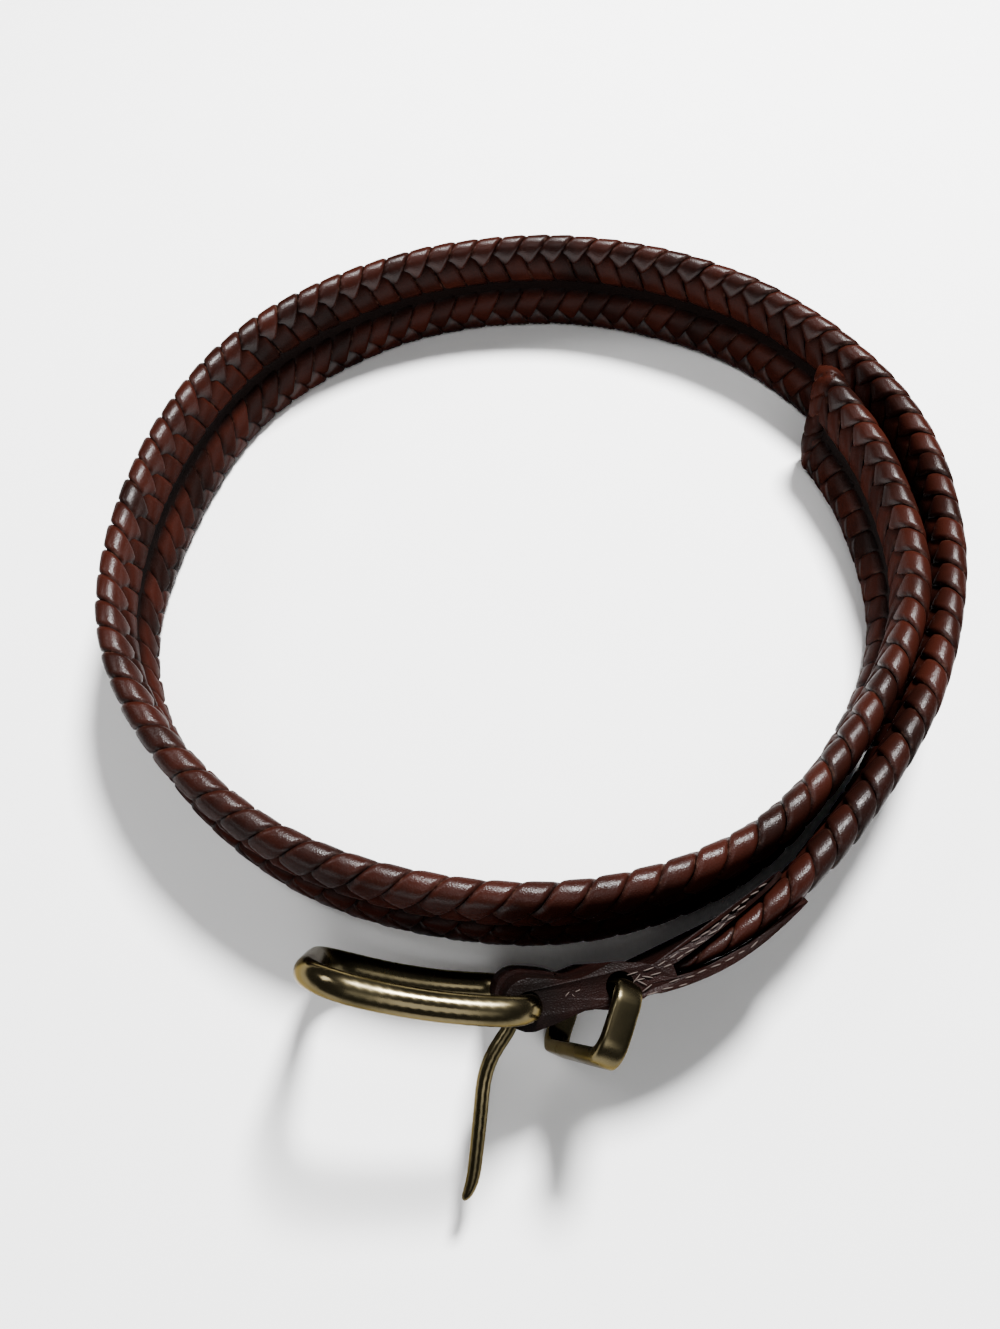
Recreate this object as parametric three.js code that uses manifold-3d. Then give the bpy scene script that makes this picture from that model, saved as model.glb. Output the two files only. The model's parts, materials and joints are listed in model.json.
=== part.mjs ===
// Braided belt lying unfastened on its lower edge, coiled about one and a third turns.
// Millimetres, +Z up, floor at z = 0. Seen from -Y the buckle end lies in front.
import * as THREE from 'three';
import { mergeVertices } from 'three/addons/utils/BufferGeometryUtils.js';
import Module from 'manifold-3d';

const wasm = await Module();
wasm.setup();

// Braided strap
const coilRadius = 102;
const strapHeight = 32;
const strapThickness = 7.2;
const grooveDepth = 1.5;
const lobePower = 2.6;
const edgeFlatShare = 0.965;
const strapSteps = 116;
const strapStart = 28;
const tipRun = 7;
const tipSlant = 7.5;
const tipSlantRun = 26;

// Leather end fold
const foldLeather = 1.75;
const barFoldLeather = 2.3;
const foldHeight = 24;
const chapeHeight = 26.5;
const chapeLength = 58;
const mouthHeightShare = 0.86;
const mouthRounding = 6;
const slotHeight = 5.2;
const slotReach = 7.5;
const partGap = 0.35;

// Buckle end, how it lies
const endLean = 18.4;
const endLeanRun = 72;
const endLift = 2.9;
const endLiftRun = 84;

// Buckle ring
const ringLength = 40.8;
const ringHeight = 38.4;
const ringWidth = 5.0;
const ringThickness = 5.4;
const ringBow = 1.6;
const heelCorner = 6.5;
const frontCorner = 9.5;
const barDiameter = 4.1;
const barSlack = 1.0;
const ringSwing = 17.1;

// Prong
const prongReach = 37;
const prongWidth = 3.5;
const prongThickness = 3.0;
const prongEyeWall = 1.5;
const prongSwing = 65;

// Keeper
const keeperInnerHeight = 32.4;
const keeperInnerDepth = 10;
const keeperBand = 5.0;
const keeperThickness = 2.8;
const keeperBackBand = 2.6;
const keeperCorner = 5.0;
const keeperAt = 15.6;
const keeperSlack = 1.8;
const keeperSwing = 60;
const keeperSkew = 7.5;
const keeperLean = 3.5;
const keeperEyeGap = 0.65;

const degrees = THREE.MathUtils.degToRad;
const smooth = THREE.MathUtils.smoothstep;
const mix = THREE.MathUtils.lerp;

// Route of the strap seen from above, from the buckle to the free end:
// turn is the angle about the coil's axis, reach the share of the coil's radius
// and lean how far the upper edge tips outwards, in degrees.
const route = [
  { turn: -93, reach: 1.139, lean: 0 },
  { turn: -80, reach: 1.111, lean: 0 },
  { turn: -67, reach: 1.069, lean: 0 },
  { turn: -52, reach: 1.012, lean: 0 },
  { turn: -30, reach: 0.983, lean: 0 },
  { turn: -5, reach: 0.995, lean: 0 },
  { turn: 20, reach: 1.030, lean: 0 },
  { turn: 50, reach: 1.050, lean: -3 },
  { turn: 80, reach: 1.037, lean: -2 },
  { turn: 110, reach: 1.021, lean: -2 },
  { turn: 140, reach: 1.013, lean: 3 },
  { turn: 165, reach: 0.994, lean: 5 },
  { turn: 195, reach: 1.035, lean: 1 },
  { turn: 215, reach: 1.038, lean: 0 },
  { turn: 240, reach: 1.010, lean: 0 },
  { turn: 270, reach: 0.974, lean: 0 },
  { turn: 295, reach: 0.949, lean: 0 },
  { turn: 320, reach: 0.903, lean: 0 },
  { turn: 345, reach: 0.906, lean: 0 },
  { turn: 370, reach: 0.894, lean: 0 },
  { turn: 392, reach: 0.922, lean: 0 },
];

const centreLine = new THREE.CatmullRomCurve3(
  route.map(({ turn, reach }) => new THREE.Vector3(
    coilRadius * reach * Math.cos(degrees(turn)),
    coilRadius * reach * Math.sin(degrees(turn)),
    0,
  )),
  false,
  'centripetal',
);
centreLine.arcLengthDivisions = 2400;
const routeLength = centreLine.getLength();

// Value of a route column at a share of the route's length.
function routeValue(share, column) {
  const place = centreLine.getUtoTmapping(share) * (route.length - 1);
  const row = Math.min(Math.floor(place), route.length - 2);
  return mix(route[row][column], route[row + 1][column], smooth(place - row, 0, 1));
}

// Place on the strap at a distance from the buckle's bar: point at mid-height,
// direction along the strap, direction inwards through it and direction up it.
function station(distance) {
  const share = THREE.MathUtils.clamp(distance / routeLength, 0, 1);
  const point = centreLine.getPointAt(share);
  const along = centreLine.getTangentAt(share);
  const inward = new THREE.Vector3(-along.y, along.x, 0);
  const left = THREE.MathUtils.clamp(1 - distance / endLiftRun, 0, 1);
  along.z = -2 * endLift * left / endLiftRun;
  point.addScaledVector(along, distance - share * routeLength);
  const routeLean = degrees(routeValue(share, 'lean'));
  const edgeFlatHalf = lobeHalfThickness(edgeFlatShare) * strapThickness / 2;
  point.z += Math.cos(routeLean) * strapHeight / 2 + Math.abs(Math.sin(routeLean)) * edgeFlatHalf;
  point.z += endLift * left ** 2;
  along.normalize();
  const upright = along.clone().cross(inward);
  const lean = degrees(endLean) * (1 - smooth(distance, 0, endLeanRun)) + routeLean;
  const up = upright.clone().multiplyScalar(Math.cos(lean)).addScaledVector(inward, -Math.sin(lean));
  const through = inward.multiplyScalar(Math.cos(lean)).addScaledVector(upright, Math.sin(lean));
  return { point, along, through, up };
}

// Straight-to-lying map: x along the strap, y through it, z up it.
function layAlongRoute(geometry) {
  const position = geometry.getAttribute('position');
  for (let i = 0; i < position.count; i += 1) {
    const { point, through, up } = station(position.getX(i));
    point.addScaledVector(through, position.getY(i));
    point.addScaledVector(up, position.getZ(i));
    position.setXYZ(i, point.x, point.y, point.z);
  }
  return geometry;
}

// Position-only copy with shared corners.
function welded(geometry) {
  const bare = new THREE.BufferGeometry();
  bare.setAttribute('position', geometry.getAttribute('position').clone());
  if (geometry.index) {
    bare.setIndex(geometry.index.clone());
  }
  return mergeVertices(bare, 1e-4);
}

function toManifold(geometry) {
  const bare = welded(geometry);
  return new wasm.Manifold(new wasm.Mesh({
    numProp: 3,
    vertProperties: new Float32Array(bare.getAttribute('position').array),
    triVerts: new Uint32Array(bare.index.array),
  }));
}

function fromManifold(solid) {
  const mesh = solid.getMesh();
  const geometry = new THREE.BufferGeometry();
  geometry.setAttribute('position', new THREE.BufferAttribute(new Float32Array(mesh.vertProperties), 3));
  geometry.setIndex(new THREE.BufferAttribute(new Uint32Array(mesh.triVerts), 1));
  return geometry;
}

// Half thickness of the two-lobed braid section at a height, both shares of 1.
function lobeHalfThickness(heightShare) {
  const place = (Math.abs(heightShare) - 0.5) * 2;
  if (place >= 0) {
    return (1 - place ** lobePower) ** (1 / lobePower);
  }
  return 1 - (2 * grooveDepth / strapThickness) * (-place) ** 2;
}

function strapSection() {
  const heights = [-edgeFlatShare, -0.9, -0.75, -0.5, -0.2, 0, 0.2, 0.5, 0.75, 0.9, edgeFlatShare];
  const right = heights.map((h) => new THREE.Vector2(lobeHalfThickness(h) / 2, h / edgeFlatShare / 2));
  const left = right.map((p) => new THREE.Vector2(-p.x, p.y)).reverse();
  return new THREE.Shape([...right, ...left]);
}

// Braid size on its way into the leather end: shares of the strap's own size.
const braidTaper = [
  { at: 28, thick: 0.24, high: 0.62 },
  { at: 34, thick: 0.46, high: 0.72 },
  { at: 45, thick: 0.68, high: 0.85 },
  { at: 58, thick: 0.82, high: 0.96 },
  { at: 70, thick: 1.00, high: 1.00 },
];

function tableValue(table, distance, column) {
  const last = table[table.length - 1];
  if (distance >= last.at) {
    return last[column];
  }
  const next = Math.max(1, table.findIndex((row) => row.at > distance));
  const [a, b] = [table[next - 1], table[next]];
  const share = THREE.MathUtils.clamp((distance - a.at) / (b.at - a.at), 0, 1);
  return mix(a[column], b[column], share);
}

function braidThickness(distance) {
  const end = Math.max(0, (distance - (routeLength - tipRun)) / tipRun);
  return strapThickness * tableValue(braidTaper, distance, 'thick') * Math.sqrt(1 - 0.8 * end ** 2);
}

function braidHeight(distance) {
  const end = Math.max(0, (distance - (routeLength - tipRun)) / tipRun);
  return strapHeight * tableValue(braidTaper, distance, 'high') * (1 - 0.16 * end ** 3);
}

// Section numbers are evenly spaced, closer together over the rounded free end.
function sectionDistance(number) {
  const tipSteps = 5;
  const plainSteps = strapSteps - tipSteps;
  if (number <= plainSteps) {
    return mix(strapStart, routeLength - tipRun, number / plainSteps);
  }
  const share = (number - plainSteps) / tipSteps;
  return routeLength - tipRun * (1 - share) ** 1.6;
}

function braidedStrap() {
  const swept = new THREE.ExtrudeGeometry(strapSection(), {
    depth: strapSteps,
    steps: strapSteps,
    bevelEnabled: false,
  });
  const position = swept.getAttribute('position');
  for (let i = 0; i < position.count; i += 1) {
    const distance = sectionDistance(Math.round(position.getZ(i)));
    const slant = tipSlant * smooth(distance, routeLength - tipSlantRun, routeLength);
    position.setXYZ(
      i,
      distance - slant * (0.5 - position.getY(i)),
      position.getX(i) * braidThickness(distance),
      position.getY(i) * braidHeight(distance),
    );
  }
  return layAlongRoute(welded(swept));
}

// Leather end seen from above in the straight: half thickness over the
// distance from the bar, then the mouth that takes the braid.
const barEye = barDiameter / 2 + partGap;
const keeperEye = Math.hypot(keeperBackBand, keeperThickness) / 2 + keeperEyeGap;
const chapeOutline = [
  { at: 4.6, half: 3.9 },
  { at: 9.2, half: 2.9 },
  { at: 12.4, half: 3.6 },
  { at: keeperAt, half: keeperEye + foldLeather },
  { at: 18.8, half: 3.3 },
  { at: 23, half: 2.6 },
  { at: 29, half: 3.2 },
  { at: 36, half: 3.8 },
  { at: 45, half: 4.2 },
  { at: chapeLength, half: 4.5 },
];

function chapeProfile() {
  const side = new THREE.SplineCurve([
    new THREE.Vector2(0.6, barEye + barFoldLeather),
    ...chapeOutline.map(({ at, half }) => new THREE.Vector2(at, half)),
  ]).getPoints(34);
  const foldTurn = new THREE.EllipseCurve(
    0, 0, barEye + barFoldLeather, barEye + barFoldLeather, Math.PI / 2, 1.5 * Math.PI,
  ).getPoints(10);
  const mouth = [];
  const mouthSteps = 8;
  for (let step = 0; step <= mouthSteps; step += 1) {
    const at = mix(chapeLength, strapStart - partGap, step / mouthSteps);
    mouth.push(new THREE.Vector2(at, braidThickness(Math.max(at, strapStart)) / 2 + partGap));
  }
  const mirrored = (points) => points.map((p) => new THREE.Vector2(p.x, -p.y)).reverse();
  const shape = new THREE.Shape([
    ...foldTurn,
    ...mirrored(side).reverse(),
    ...mirrored(mouth).reverse(),
    ...mouth.slice().reverse(),
    ...side.slice().reverse(),
  ]);
  const barHole = new THREE.Path().absarc(0, 0, barEye, 0, 2 * Math.PI);
  const keeperHole = new THREE.Path().absarc(keeperAt, 0, keeperEye, 0, 2 * Math.PI);
  shape.holes.push(barHole, keeperHole);
  return shape;
}

function chapeLocalHeight(distance) {
  const grown = mix(foldHeight, chapeHeight, smooth(distance, 8, 24));
  const rounding = Math.max(0, (distance - (chapeLength - mouthRounding)) / mouthRounding);
  return grown * (1 - (1 - mouthHeightShare) * rounding ** 2);
}

function leatherEnd() {
  const swept = new THREE.ExtrudeGeometry(chapeProfile(), {
    depth: 1,
    steps: 2,
    bevelEnabled: false,
    curveSegments: 9,
  });
  swept.translate(0, 0, -0.5);
  const position = swept.getAttribute('position');
  for (let i = 0; i < position.count; i += 1) {
    const distance = position.getX(i);
    const height = position.getZ(i) * chapeLocalHeight(distance);
    const skewed = 1 - smooth(Math.abs(distance - keeperAt), 4, 9);
    position.setXYZ(
      i,
      distance + height * Math.tan(degrees(keeperSkew)) * skewed,
      position.getY(i) + height * Math.tan(degrees(keeperLean)) * skewed,
      height,
    );
  }
  const slotBack = barEye + barFoldLeather + 2;
  const slot = new THREE.BoxGeometry(slotBack + slotReach, 14, slotHeight);
  slot.translate((slotReach - slotBack) / 2, 0, 0);
  const cut = toManifold(swept).subtract(toManifold(slot));
  return layAlongRoute(fromManifold(cut));
}

// Sets a straight-made piece on the strap: its z runs up the bar, its x
// points away from the strap and it is swung about the bar.
function setOnBar(geometry, distance, swing, rise, skew = 0, lean = 0) {
  const { point, along, through, up } = station(distance);
  const away = along.clone().negate();
  const side = through.clone().negate();
  const basis = new THREE.Matrix4().makeBasis(away, side, up);
  geometry.rotateZ(degrees(swing));
  geometry.rotateY(degrees(-skew));
  geometry.rotateX(degrees(lean));
  geometry.applyMatrix4(basis);
  geometry.translate(
    point.x + up.x * rise,
    point.y + up.y * rise,
    point.z + up.z * rise,
  );
  return geometry;
}

class RingPath extends THREE.Curve {
  constructor(length, height, nearCorner, farCorner) {
    super();
    const path = new THREE.Path();
    const half = height / 2;
    path.moveTo(nearCorner, -half);
    path.lineTo(length - farCorner, -half);
    path.absarc(length - farCorner, -half + farCorner, farCorner, -Math.PI / 2, 0);
    path.lineTo(length, half - farCorner);
    path.absarc(length - farCorner, half - farCorner, farCorner, 0, Math.PI / 2);
    path.lineTo(nearCorner, half);
    path.absarc(nearCorner, half - nearCorner, nearCorner, Math.PI / 2, Math.PI);
    path.lineTo(0, -half + nearCorner);
    path.absarc(nearCorner, -half + nearCorner, nearCorner, Math.PI, 1.5 * Math.PI);
    this.path = path;
  }

  getPoint(share, target = new THREE.Vector3()) {
    const flat = this.path.getPointAt(share % 1);
    return target.set(flat.x, 0, flat.y);
  }
}

// Ring in the x-z plane, its bar on the z axis, bowed towards +y.
function buckleRing() {
  const tube = new THREE.TubeGeometry(
    new RingPath(ringLength, ringHeight, heelCorner, frontCorner),
    76,
    ringWidth / 2,
    12,
    true,
  );
  const position = tube.getAttribute('position');
  const barHalf = ringHeight / 2 - heelCorner;
  for (let i = 0; i < position.count; i += 1) {
    const x = position.getX(i);
    const z = position.getZ(i);
    const onBar = x < ringWidth / 2 + 0.2 ? 1 - smooth(Math.abs(z), barHalf - 0.5, barHalf + 4) : 0;
    const bow = ringBow * (1 - (2 * x / ringLength - 1) ** 2);
    const thickness = mix(ringThickness, barDiameter, onBar) / ringWidth;
    const width = mix(1, barDiameter / ringWidth, onBar);
    position.setXYZ(i, x * width, position.getY(i) * thickness + Math.max(0, bow), z);
  }
  const ring = welded(tube);
  return setOnBar(ring, 0, -ringSwing, barSlack);
}

// Side view of the prong: how far out along it and how far it dips, both
// shares of its reach, and its size as a share of the full section.
const prongShape = [
  { out: 0.075, dip: 0.000, size: 0.95 },
  { out: 0.17, dip: 0.012, size: 1.00 },
  { out: 0.31, dip: 0.056, size: 1.00 },
  { out: 0.44, dip: 0.064, size: 1.00 },
  { out: 0.60, dip: 0.034, size: 0.98 },
  { out: 0.77, dip: 0.002, size: 0.94 },
  { out: 0.88, dip: -0.016, size: 0.90 },
  { out: 0.95, dip: -0.014, size: 0.74 },
  { out: 0.985, dip: -0.005, size: 0.50 },
  { out: 1.00, dip: 0.000, size: 0.22 },
];

function prong() {
  const steps = 26;
  const outline = new THREE.EllipseCurve(0, 0, 0.5, 0.5, 0, 2 * Math.PI).getPoints(10).slice(0, 10);
  const shaft = new THREE.ExtrudeGeometry(new THREE.Shape(outline), {
    depth: steps,
    steps,
    bevelEnabled: false,
  });
  const line = new THREE.SplineCurve(prongShape.map(({ out, dip }) => new THREE.Vector2(out, -dip)));
  const sizes = new THREE.SplineCurve(prongShape.map(({ size }, row) => new THREE.Vector2(row, size)));
  const position = shaft.getAttribute('position');
  for (let i = 0; i < position.count; i += 1) {
    const share = position.getZ(i) / steps;
    const middle = line.getPoint(share).multiplyScalar(prongReach);
    const tangent = line.getTangent(share);
    const size = sizes.getPoint(share).y;
    const across = position.getX(i) * prongThickness * size;
    position.setXYZ(
      i,
      middle.x - tangent.y * across,
      middle.y + tangent.x * across,
      position.getY(i) * prongWidth * size,
    );
  }
  const eyeInner = barDiameter / 2 + partGap;
  const eye = new THREE.Shape().absarc(0, 0, eyeInner + prongEyeWall, 0, 2 * Math.PI);
  eye.holes.push(new THREE.Path().absarc(0, 0, eyeInner, 0, 2 * Math.PI));
  const eyeSolid = new THREE.ExtrudeGeometry(eye, {
    depth: prongWidth - 0.8,
    bevelEnabled: true,
    bevelSize: 0.4,
    bevelThickness: 0.4,
    bevelOffset: -0.4,
    bevelSegments: 1,
    curveSegments: 14,
  });
  eyeSolid.translate(0, 0, -(prongWidth - 0.8) / 2);
  const solid = toManifold(shaft).add(toManifold(eyeSolid));
  return setOnBar(fromManifold(solid), 0, prongSwing, 0);
}

function roundedRectangle(target, left, right, half, corner) {
  target.moveTo(left + corner, -half);
  target.lineTo(right - corner, -half);
  target.absarc(right - corner, -half + corner, corner, -Math.PI / 2, 0);
  target.lineTo(right, half - corner);
  target.absarc(right - corner, half - corner, corner, 0, Math.PI / 2);
  target.lineTo(left + corner, half);
  target.absarc(left + corner, half - corner, corner, Math.PI / 2, Math.PI);
  target.lineTo(left, -half + corner);
  target.absarc(left + corner, -half + corner, corner, Math.PI, 1.5 * Math.PI);
  return target;
}

// Keeper ring: back side on the z axis, depth along x, band width along y.
function keeper() {
  const wall = keeperThickness;
  const innerCorner = keeperCorner - wall * 0.8;
  const outer = roundedRectangle(
    new THREE.Shape(), -wall / 2, wall * 1.5 + keeperInnerDepth, keeperInnerHeight / 2 + wall, keeperCorner,
  );
  outer.holes.push(roundedRectangle(
    new THREE.Path(), wall / 2, wall / 2 + keeperInnerDepth, keeperInnerHeight / 2, innerCorner,
  ));
  const edge = 0.7;
  const band = new THREE.ExtrudeGeometry(outer, {
    depth: keeperBand - 2 * edge,
    bevelEnabled: true,
    bevelSize: edge,
    bevelThickness: edge,
    bevelOffset: -edge,
    bevelSegments: 2,
    curveSegments: 5,
  });
  band.translate(0, 0, -(keeperBand - 2 * edge) / 2);
  const position = band.getAttribute('position');
  const straight = keeperInnerHeight / 2 - 1;
  for (let i = 0; i < position.count; i += 1) {
    const x = position.getX(i);
    const z = position.getY(i);
    const onBack = x < wall ? 1 - smooth(Math.abs(z), straight, straight + 1) : 0;
    const width = mix(1, keeperBackBand / keeperBand, onBack);
    position.setXYZ(i, x, -position.getZ(i) * width, z);
  }
  return setOnBar(welded(band), keeperAt, keeperSwing, keeperSlack, keeperSkew, keeperLean);
}

const leather = { color: 0x3c1a14, roughness: 0.5, metalness: 0 };
const plainLeather = { color: 0x2a1411, roughness: 0.6, metalness: 0 };
const brass = { color: 0x8d7a45, roughness: 0.3, metalness: 1 };

function piece(name, geometry, look) {
  const flat = geometry.toNonIndexed();
  flat.computeVertexNormals();
  const mesh = new THREE.Mesh(flat, new THREE.MeshStandardMaterial(look));
  mesh.name = name;
  return mesh;
}

const belt = new THREE.Group();
belt.name = 'braided_belt';
belt.add(piece('strap', braidedStrap(), leather));
belt.add(piece('chape', leatherEnd(), plainLeather));
belt.add(piece('buckle_frame', buckleRing(), brass));
belt.add(piece('prong', prong(), brass));
belt.add(piece('keeper', keeper(), brass));

// The origin is the middle of the bounding box, on the floor.
const bounds = new THREE.Box3().setFromObject(belt);
const middle = bounds.getCenter(new THREE.Vector3());
belt.children.forEach((mesh) => mesh.geometry.translate(-middle.x, -middle.y, -bounds.min.z));

export default belt;
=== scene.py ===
"""Looks of a braided leather belt that lies on its edge in a coil."""
import json
import math

import bpy
import numpy as np
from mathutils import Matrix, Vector

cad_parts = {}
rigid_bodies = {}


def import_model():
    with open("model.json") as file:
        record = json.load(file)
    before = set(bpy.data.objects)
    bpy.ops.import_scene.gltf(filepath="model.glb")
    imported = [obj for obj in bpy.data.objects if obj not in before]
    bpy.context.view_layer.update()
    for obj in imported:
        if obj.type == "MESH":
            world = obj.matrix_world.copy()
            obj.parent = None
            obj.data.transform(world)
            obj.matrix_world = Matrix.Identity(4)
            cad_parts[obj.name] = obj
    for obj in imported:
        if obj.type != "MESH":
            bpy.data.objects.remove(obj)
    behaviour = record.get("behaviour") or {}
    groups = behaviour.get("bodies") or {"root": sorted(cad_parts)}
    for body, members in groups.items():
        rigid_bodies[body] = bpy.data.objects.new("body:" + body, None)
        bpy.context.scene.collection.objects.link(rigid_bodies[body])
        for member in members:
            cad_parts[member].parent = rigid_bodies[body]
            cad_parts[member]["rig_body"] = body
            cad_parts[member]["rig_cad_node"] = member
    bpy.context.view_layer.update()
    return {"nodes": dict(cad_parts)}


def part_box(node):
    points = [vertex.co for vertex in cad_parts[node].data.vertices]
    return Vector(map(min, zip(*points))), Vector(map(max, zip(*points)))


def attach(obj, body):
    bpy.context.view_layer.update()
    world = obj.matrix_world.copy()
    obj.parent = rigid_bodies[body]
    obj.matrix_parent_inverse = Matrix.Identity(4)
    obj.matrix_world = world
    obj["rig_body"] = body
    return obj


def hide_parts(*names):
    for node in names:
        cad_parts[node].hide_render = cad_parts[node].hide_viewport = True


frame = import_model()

bl_info = {
    "name": "Braided belt",
    "version": (1, 0, 0),
    "blender": (4, 5, 0),
    "location": "3D View > Sidebar > Braided belt",
    "description": "Strands, leather end, stitches and brass of a coiled braided belt",
    "category": "Object",
}

MM = 0.001

# Lie of the strap, in millimetres and degrees
COIL_RADIUS = 102.0
STRAP_HEIGHT = 32.0
STRAP_THICKNESS = 7.2
GROOVE_DEPTH = 1.5
LOBE_POWER = 2.6
STRAP_START = 28.0
TIP_RUN = 7.0
TIP_SLANT = 7.5
TIP_SLANT_RUN = 26.0
END_LEAN = 18.4
END_LEAN_RUN = 72.0
END_LIFT = 2.9
END_LIFT_RUN = 84.0
EDGE_FLAT_HALF = 1.83
TIP_THINNING = 0.8
TIP_LOWERING = 0.16

# How finely the lie and the section are worked out
ROUTE_SAMPLES = 6001
LIE_SAMPLES = 1801
SHARE_STEP = 1e-4
SECTION_ANGLES = 1440
SECTION_SAMPLES = 721
SMOOTHING_PASSES = 6

# The leather end lies within this distance of the bar. Of the places on the strap that are
# level with one of its points, the nearer one is taken.
LEATHER_REACH = 90
NEARNESS_SHARE = 0.02

# Turn about the coil's axis, share of the coil's radius, outward lean of the upper edge
ROUTE = (
    (-93, 1.139, 0), (-80, 1.111, 0), (-67, 1.069, 0), (-52, 1.012, 0), (-30, 0.983, 0),
    (-5, 0.995, 0), (20, 1.030, 0), (50, 1.050, -3), (80, 1.037, -2), (110, 1.021, -2),
    (140, 1.013, 3), (165, 0.994, 5), (195, 1.035, 1), (215, 1.038, 0), (240, 1.010, 0),
    (270, 0.974, 0), (295, 0.949, 0), (320, 0.903, 0), (345, 0.906, 0), (370, 0.894, 0),
    (392, 0.922, 0),
)

# Distance from the buckle's bar, share of the thickness, share of the height
BRAID_TAPER = (
    (28, 0.24, 0.62), (34, 0.46, 0.72), (45, 0.68, 0.85), (58, 0.82, 0.96), (70, 1.0, 1.0),
)


def smooth(x, low, high):
    """0 below low, 1 above high, and an even ease between them."""
    t = np.clip((x - low) / (high - low), 0, 1)
    return t * t * (3 - 2 * t)


def knot_points():
    """Points of the route in plan, about the coil's axis."""
    turn = np.radians([row[0] for row in ROUTE])
    reach = COIL_RADIUS * np.array([row[1] for row in ROUTE])
    return np.stack([reach * np.cos(turn), reach * np.sin(turn)], axis=1)


def centripetal_curve(knots, t):
    """Points of a centripetal curve through the knots, at shares t of its knots."""
    count = len(knots)
    ends = np.vstack([2 * knots[0] - knots[1], knots, 2 * knots[-1] - knots[-2]])
    place = t * (count - 1)
    span = np.minimum(np.floor(place).astype(int), count - 2)
    w = (place - span)[:, None]
    p0, p1, p2, p3 = (ends[span + k] for k in range(4))
    d0, d1, d2 = (np.sqrt(np.linalg.norm(b - a, axis=1))[:, None]
                  for a, b in ((p0, p1), (p1, p2), (p2, p3)))
    m1 = ((p1 - p0) / d0 - (p2 - p0) / (d0 + d1) + (p2 - p1) / d1) * d1
    m2 = ((p2 - p1) / d1 - (p3 - p1) / (d1 + d2) + (p3 - p2) / d2) * d1
    return p1 + m1 * w + (3 * (p2 - p1) - 2 * m1 - m2) * w ** 2 + (2 * (p1 - p2) + m1 + m2) * w ** 3


class Lie:
    """Where each distance along the strap lies: point, along, through and up."""

    def __init__(self):
        knots = knot_points()
        t = np.linspace(0, 1, ROUTE_SAMPLES)
        points = centripetal_curve(knots, t)
        steps = np.linalg.norm(np.diff(points, axis=0), axis=1)
        run = np.concatenate([[0], np.cumsum(steps)])
        self.length = run[-1]
        self.at = np.linspace(0, self.length, LIE_SAMPLES)
        t_at = np.interp(self.at, run, t)
        flat = centripetal_curve(knots, t_at)
        ahead = centripetal_curve(knots, np.minimum(t_at + SHARE_STEP, 1))
        behind = centripetal_curve(knots, np.maximum(t_at - SHARE_STEP, 0))
        along = ahead - behind
        along /= np.linalg.norm(along, axis=1)[:, None]
        inward = np.stack([-along[:, 1], along[:, 0], np.zeros(len(along))], axis=1)
        left = np.clip(1 - self.at / END_LIFT_RUN, 0, 1)
        rise = -2 * END_LIFT * left / END_LIFT_RUN
        row = t_at * (len(ROUTE) - 1)
        low = np.minimum(np.floor(row).astype(int), len(ROUTE) - 2)
        leans = np.array([r[2] for r in ROUTE], float)
        share = smooth(row - low, 0, 1)
        route_lean = np.radians(leans[low] * (1 - share) + leans[low + 1] * share)
        z = (np.cos(route_lean) * STRAP_HEIGHT / 2 + np.abs(np.sin(route_lean)) * EDGE_FLAT_HALF
             + END_LIFT * left ** 2)
        self.point = np.column_stack([flat, z])
        self.along = np.column_stack([along, rise])
        self.along /= np.linalg.norm(self.along, axis=1)[:, None]
        upright = np.cross(self.along, inward)
        lean = (np.radians(END_LEAN) * (1 - smooth(self.at, 0, END_LEAN_RUN)) + route_lean)[:, None]
        self.up = upright * np.cos(lean) - inward * np.sin(lean)
        self.through = inward * np.cos(lean) + upright * np.sin(lean)
        self.axis = self.axis_place()
        self.point[:, :2] += self.axis

    def axis_place(self):
        """Place of the coil's axis, from the solid strap's extents. Each lobe is thickest a
        quarter of the height from the middle."""
        low, high = (np.array(c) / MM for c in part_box("strap"))
        near = self.at > END_LEAN_RUN
        corners = [self.point + self.through * side * STRAP_THICKNESS / 2 + self.up * height
                   for side in (-1, 1) for height in (-STRAP_HEIGHT / 4, STRAP_HEIGHT / 4)]
        corners = np.concatenate([c[near] for c in corners])
        across = (low[0] + high[0] - corners[:, 0].min() - corners[:, 0].max()) / 2
        return np.array([across, high[1] - corners[:, 1].max()])

    def place(self, xyz):
        """Maps straight-strap coordinates (along, through, up) to where the strap lies."""
        x = xyz[:, 0]
        inside = np.clip(x, 0, self.length)

        def at(column):
            return np.stack([np.interp(inside, self.at, column[:, k]) for k in range(3)], axis=1)

        along = at(self.along)
        return (at(self.point) + along * (x - inside)[:, None] + at(self.through) * xyz[:, 1:2]
                + at(self.up) * xyz[:, 2:3])

    def unplace(self, co):
        """Straight-strap coordinates of points of the leather end."""
        reach = self.at <= LEATHER_REACH
        at, point, along = self.at[reach], self.point[reach], self.along[reach]
        through, up = self.through[reach], self.up[reach]
        out = np.empty_like(co)
        for row, spot in enumerate(co):
            away = spot - point
            ahead = np.abs(np.einsum("ij,ij->i", away, along))
            near = np.argmin(ahead + NEARNESS_SHARE * np.linalg.norm(away, axis=1))
            step = away[near]
            out[row] = (at[near] + step @ along[near], step @ through[near], step @ up[near])
        return out


LIE = Lie()


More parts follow.
